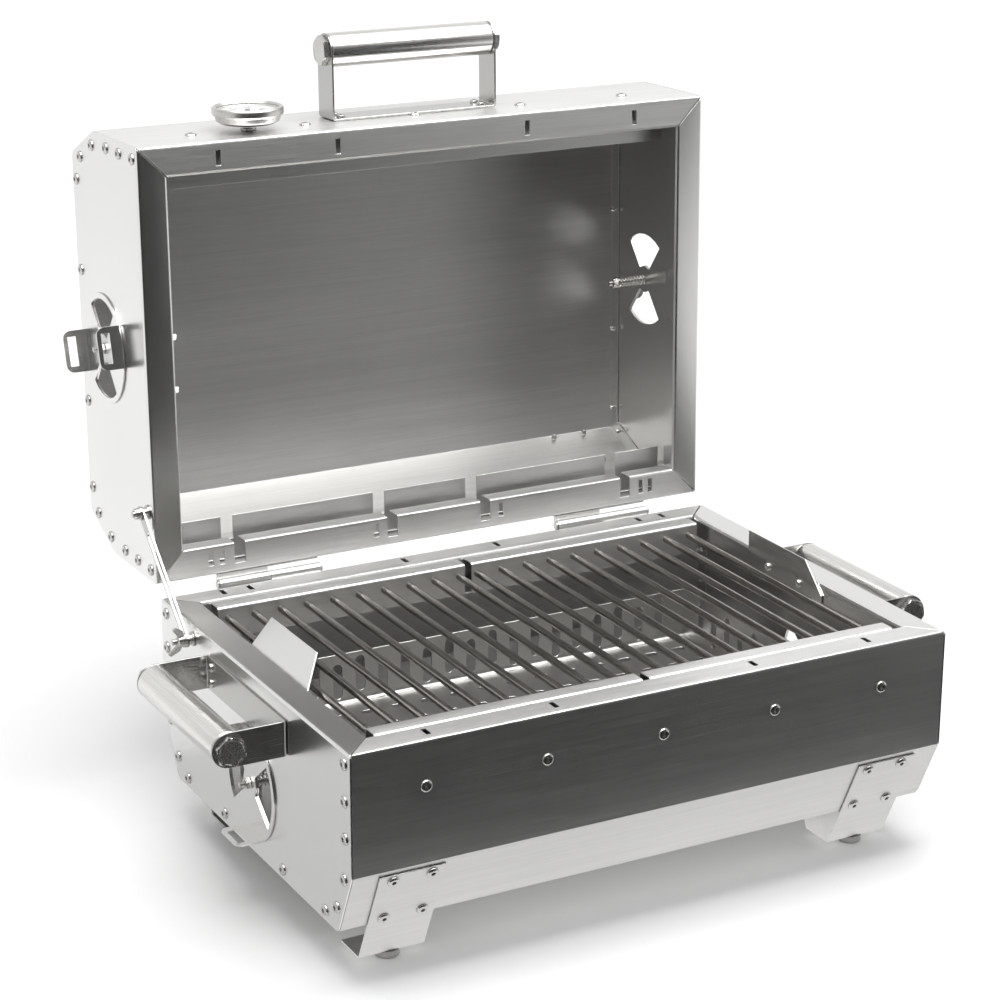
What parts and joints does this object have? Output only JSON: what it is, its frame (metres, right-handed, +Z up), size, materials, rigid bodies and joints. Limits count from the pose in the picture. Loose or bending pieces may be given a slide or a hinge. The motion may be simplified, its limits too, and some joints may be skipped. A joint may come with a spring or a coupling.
{
  "type": "portable charcoal grill",
  "caption": "Portable stainless steel grill: a folded box on four feet, an identical hinged box for a lid, air dampers, lift-out grates, tubular handles and a lid dial.",
  "frame": {"origin": "middle of the bounding box at ground level, under the foot pads, with the lid open", "axes": "+X along the front towards the right end panel, +Y from the front wall to the hinges, +Z up"},
  "size_m": [0.6162, 0.5068, 0.6005],
  "materials": {
    "satin_sheet": "satin brushed stainless sheet",
    "bright_panel": "bright satin stainless sheet",
    "strap_sheet": "satin stainless strap, a little darker",
    "polished_tube": "fine brushed stainless tube",
    "grate_rod": "brushed stainless rod, warm grey",
    "fastener": "bright stainless fasteners",
    "polished_case": "polished case",
    "dial_white": "white printed plate",
    "dial_glass": "clear",
    "needle_dark": "black painted pointer",
    "foot_pad": "grey pad"
  },
  "bodies": {
    "base": {"base_shell": "satin_sheet", "base_end_left": "bright_panel", "base_end_right": "bright_panel", "base_rail_front": "satin_sheet", "base_rail_rear": "satin_sheet", "guide_plate_left": "bright_panel", "guide_plate_right": "strap_sheet", "hinge_leaf_base_left": "strap_sheet", "hinge_leaf_base_right": "strap_sheet", "hinge_pin_left": "fastener", "hinge_pin_right": "fastener", "handle_bracket_left": "strap_sheet", "handle_tube_left": "polished_tube", "handle_bolt_left": "fastener", "handle_bracket_right": "strap_sheet", "handle_tube_right": "polished_tube", "handle_bolt_right": "fastener", "foot_front_left": "satin_sheet", "foot_front_right": "satin_sheet", "foot_rear_left": "satin_sheet", "foot_rear_right": "satin_sheet", "foot_pad_front_left": "foot_pad", "foot_pad_front_right": "foot_pad", "foot_pad_rear_left": "foot_pad", "foot_pad_rear_right": "foot_pad", "stay_stud": "fastener", "base_damper_screw_left": "fastener", "base_damper_screw_right": "fastener", "base_damper_spring_left": "fastener", "base_damper_spring_right": "fastener"},
    "lid": {"lid_shell": "satin_sheet", "lid_end_left": "bright_panel", "lid_end_right": "bright_panel", "lid_rail_front": "satin_sheet", "lid_rail_rear": "satin_sheet", "hinge_leaf_lid_left": "strap_sheet", "hinge_leaf_lid_right": "strap_sheet", "handle_bracket_lid": "strap_sheet", "handle_tube_lid": "polished_tube", "handle_bolt_lid": "fastener", "thermometer_stem": "fastener", "thermometer_case": "polished_case", "thermometer_face": "dial_white", "thermometer_glass": "dial_glass", "stay_pivot": "fastener", "lid_damper_screw_left": "fastener", "lid_damper_screw_right": "fastener", "lid_damper_spring_left": "fastener", "lid_damper_spring_right": "fastener"},
    "stay": {"stay_arm": "strap_sheet"},
    "wing_nut": {"wing_nut": "fastener"},
    "base_damper_left": {"base_damper_left": "bright_panel"},
    "base_damper_right": {"base_damper_right": "bright_panel"},
    "lid_damper_left": {"lid_damper_left": "bright_panel"},
    "lid_damper_right": {"lid_damper_right": "bright_panel"},
    "grate_left": {"grate_left": "grate_rod"},
    "grate_right": {"grate_right": "grate_rod"},
    "tray": {"charcoal_tray": "satin_sheet"},
    "needle": {"thermometer_needle": "needle_dark"}
  },
  "joints": [
    {"name": "lid_hinge", "type": "hinge", "parent": "base", "child": "lid", "pos_m": [0, 0.10176, 0.1809], "axis": [1, 0, 0], "range_deg": [0, 91.19]},
    {"name": "stay_swing", "type": "hinge", "parent": "lid", "child": "stay", "pos_m": [0, 0.11531, 0.24583], "axis": [1, 0, 0], "range_deg": [-58.4, 0]},
    {"name": "wing_nut_turn", "type": "hinge", "parent": "base", "child": "wing_nut", "pos_m": [0, 0.02906, 0.1695], "axis": [1, 0, 0], "range_deg": [-90, 90]},
    {"name": "base_damper_left_turn", "type": "hinge", "parent": "base", "child": "base_damper_left", "pos_m": [-0.25, -0.07894, 0.093], "axis": [1, 0, 0], "range_deg": [0, 90]},
    {"name": "lid_damper_left_turn", "type": "hinge", "parent": "lid", "child": "lid_damper_left", "pos_m": [-0.25, 0.19518, 0.3592], "axis": [1, 0, 0], "range_deg": [0, 90]},
    {"name": "base_damper_right_turn", "type": "hinge", "parent": "base", "child": "base_damper_right", "pos_m": [0.25, -0.07894, 0.093], "axis": [1, 0, 0], "range_deg": [0, 90]},
    {"name": "lid_damper_right_turn", "type": "hinge", "parent": "lid", "child": "lid_damper_right", "pos_m": [0.25, 0.19518, 0.3592], "axis": [1, 0, 0], "range_deg": [0, 90]},
    {"name": "grate_left_lift", "type": "slide", "parent": "base", "child": "grate_left", "axis": [0, 0, 1], "range_m": [0, 0.008]},
    {"name": "grate_right_lift", "type": "slide", "parent": "base", "child": "grate_right", "axis": [0, 0, 1], "range_m": [0, 0.02]},
    {"name": "tray_lift", "type": "slide", "parent": "base", "child": "tray", "axis": [0, 0, 1], "range_m": [0, 0.02]},
    {"name": "thermometer_needle_turn", "type": "hinge", "parent": "lid", "child": "needle", "pos_m": [-0.144, 0.14521, 0.54878], "axis": [0, 0.0208, 0.9998], "range_deg": [-250, 0]}
  ],
  "couplings": [
    {"joint": "stay_swing", "follows": "lid_hinge", "ratio": -0.64}
  ]
}
